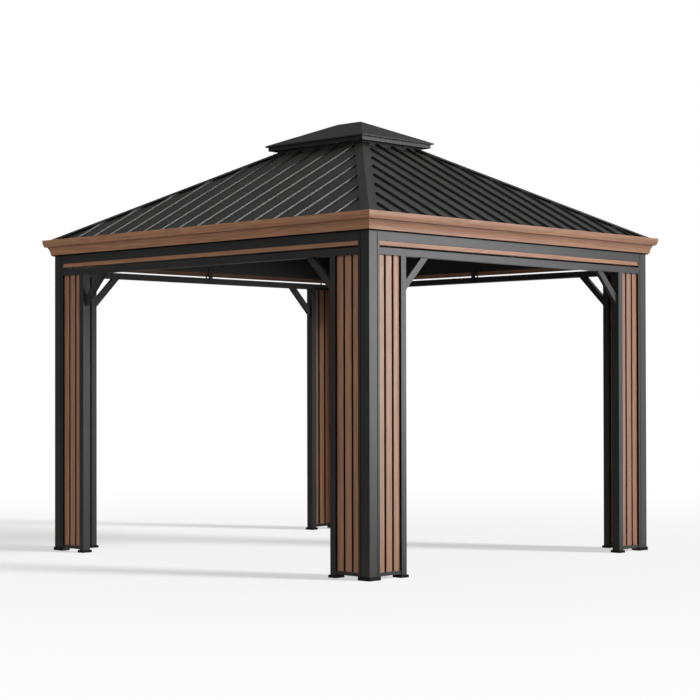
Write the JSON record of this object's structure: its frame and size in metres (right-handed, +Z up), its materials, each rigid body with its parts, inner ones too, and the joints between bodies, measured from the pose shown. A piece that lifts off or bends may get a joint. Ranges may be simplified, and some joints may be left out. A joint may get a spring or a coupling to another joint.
{
  "type": "hardtop metal gazebo",
  "caption": "Open metal gazebo with slatted corner columns, knee-braced double rails, a crown gutter and a ribbed hip roof with a raised vent tier",
  "frame": {"origin": "on the ground under the middle of the plan", "axes": "+X to the right of the front, +Y to the back, +Z up; the front is the long side at -Y"},
  "size_m": [3.333, 3.097, 3.1489],
  "materials": {
    "frame_metal": "satin charcoal powder coat",
    "roof_metal": "matt charcoal coated sheet",
    "wood_effect": "wood-grain coated aluminium, satin",
    "foot_plastic": "matt black cast foot"
  },
  "bodies": {
    "root": {"back_beam": "frame_metal", "back_cornice": "wood_effect", "back_lower_rail": "frame_metal", "back_roof_slope": "roof_metal", "corner_post_back_left": "frame_metal", "corner_post_back_right": "frame_metal", "corner_post_front_left": "frame_metal", "corner_post_front_right": "frame_metal", "front_beam": "frame_metal", "front_cornice": "wood_effect", "front_lower_rail": "frame_metal", "front_roof_slope": "roof_metal", "hip_caps": "roof_metal", "hip_rafters": "frame_metal", "jamb_feet": "foot_plastic", "jambs_back_left": "frame_metal", "jambs_back_right": "frame_metal", "jambs_front_left": "frame_metal", "jambs_front_right": "frame_metal", "knee_braces": "frame_metal", "left_beam": "frame_metal", "left_cornice": "wood_effect", "left_lower_rail": "frame_metal", "left_roof_slope": "roof_metal", "middle_rafters": "frame_metal", "post_shoes": "foot_plastic", "rail_hangers": "frame_metal", "right_beam": "frame_metal", "right_cornice": "wood_effect", "right_lower_rail": "frame_metal", "right_roof_slope": "roof_metal", "sill_rails": "frame_metal", "slats_back_left": "wood_effect", "slats_back_right": "wood_effect", "slats_front_left": "wood_effect", "slats_front_right": "wood_effect", "tier_fascia": "roof_metal", "tier_posts": "frame_metal", "top_tier_back": "roof_metal", "top_tier_front": "roof_metal", "top_tier_left": "roof_metal", "top_tier_right": "roof_metal", "vent_ring": "roof_metal", "wood_rails": "wood_effect"}
  },
  "joints": []
}
